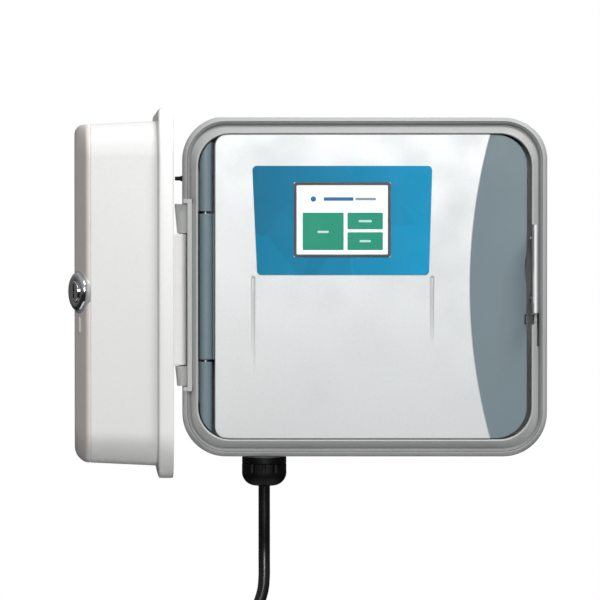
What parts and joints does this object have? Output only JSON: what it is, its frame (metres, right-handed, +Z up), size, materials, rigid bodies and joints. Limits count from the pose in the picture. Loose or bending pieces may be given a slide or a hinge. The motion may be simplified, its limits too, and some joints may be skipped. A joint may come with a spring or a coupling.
{
  "type": "irrigation controller",
  "caption": "Wall-mounted irrigation controller in a plastic cabinet, with a locking outer door, a swing-out touch panel, a cable gland and a power cord.",
  "frame": {"origin": "centre of the cabinet's flat back face, which lies on the wall", "axes": "+Y into the wall, +Z up, +X to the right seen from the front"},
  "size_m": [0.3213, 0.2892, 0.5405],
  "materials": {
    "cabinet_plastic": "fine moulded texture",
    "gasket_rubber": "matt",
    "steel": "drawn",
    "keeper_plastic": "satin",
    "slate_plastic": "fine moulded texture",
    "black_nylon": "satin",
    "cord_jacket": "semi-gloss",
    "tie_strap": "matt",
    "plated_brass": "bright",
    "wire_sleeves": "gloss",
    "natural_nylon": "satin",
    "laminations": "varnished",
    "winding_tape": "taped",
    "red_black_wires": "gloss",
    "circuit_board": "solder mask",
    "terminal_plastic": "satin",
    "chip_black": "matt",
    "fuse_glass": "clear",
    "ribbon_grey": "ribbed",
    "door_plastic": "fine moulded texture",
    "door_front_plastic": "fine moulded texture",
    "bezel_plastic": "satin",
    "chrome": "polished",
    "silver_plastic": "metallic paint",
    "blue_label": "printed film",
    "bezel_black": "satin",
    "screen_glass": "lit display behind glass",
    "display_metal": "pressed",
    "cell_steel": "brushed",
    "rear_plastic": "fine moulded texture",
    "button_red": "satin"
  },
  "bodies": {
    "cabinet": {"cabinet_shell": "cabinet_plastic", "rim_gasket": "gasket_rubber", "door_hinge_pins": "steel", "lock_keeper": "keeper_plastic", "keeper_rivets": "steel", "hinge_cap_top": "slate_plastic", "hinge_cap_bottom": "slate_plastic", "panel_hinge_pins": "steel", "gland_body": "black_nylon", "gland_washer": "gasket_rubber", "gland_locknut": "black_nylon", "gland_seal": "gasket_rubber", "gland_nut": "black_nylon", "power_cord": "cord_jacket", "cord_coil": "cord_jacket", "cord_tie": "tie_strap", "plug_body": "cord_jacket", "plug_blades": "plated_brass", "cord_tail": "cord_jacket", "mains_wires": "wire_sleeves", "mains_block": "natural_nylon", "transformer_core": "laminations", "transformer_winding": "winding_tape", "transformer_bracket": "steel", "transformer_screws": "steel", "secondary_wires": "red_black_wires", "terminal_board": "circuit_board", "board_screws": "steel", "terminal_blocks": "terminal_plastic", "terminal_screws": "steel", "station_drivers": "chip_black", "fuse_clips": "steel", "fuse": "fuse_glass", "ribbon_socket": "chip_black", "ribbon_cable": "ribbon_grey"},
    "outer_door": {"door_shell": "door_plastic", "door_front": "door_front_plastic", "door_hinge_leaf": "door_plastic", "lock_bezel": "bezel_plastic", "lock_housing": "chrome", "lock_nut": "steel"},
    "lock": {"lock_plug": "chrome", "lock_cam": "steel", "cam_screw": "steel"},
    "control_panel": {"swing_frame": "slate_plastic", "front_panel": "silver_plastic", "label_plate": "blue_label", "screen_bezel": "bezel_black", "touch_screen": "screen_glass", "display_module": "display_metal", "main_board": "circuit_board", "board_chips": "chip_black", "wifi_module": "display_metal", "cell_holder": "chip_black", "coin_cell": "cell_steel", "rear_cover": "rear_plastic", "cover_screws": "steel", "ribbon_header": "chip_black"},
    "latch": {"panel_latch": "rear_plastic"},
    "reset": {"reset_button": "button_red"}
  },
  "joints": [
    {"name": "outer_door_hinge", "type": "hinge", "parent": "cabinet", "child": "outer_door", "pos_m": [-0.126, -0.0375, 0], "axis": [0, 0, 1], "range_deg": [-33, 87]},
    {"name": "lock_turn", "type": "hinge", "parent": "outer_door", "child": "lock", "pos_m": [-0.18073, -0.27346, 0.0015], "axis": [-0.891, -0.454, 0], "range_deg": [0, 90]},
    {"name": "panel_hinge", "type": "hinge", "parent": "cabinet", "child": "control_panel", "pos_m": [-0.1089, -0.041, 0], "axis": [0, 0, 1], "range_deg": [-90, 0], "deforming": ["ribbon_cable"]},
    {"name": "latch_slide", "type": "slide", "parent": "control_panel", "child": "latch", "axis": [1, 0, 0], "range_m": [0, 0.0035]},
    {"name": "reset_press", "type": "slide", "parent": "control_panel", "child": "reset", "axis": [0, 1, 0], "range_m": [-0.0008, 0], "stiffness_N_per_m": 200}
  ]
}
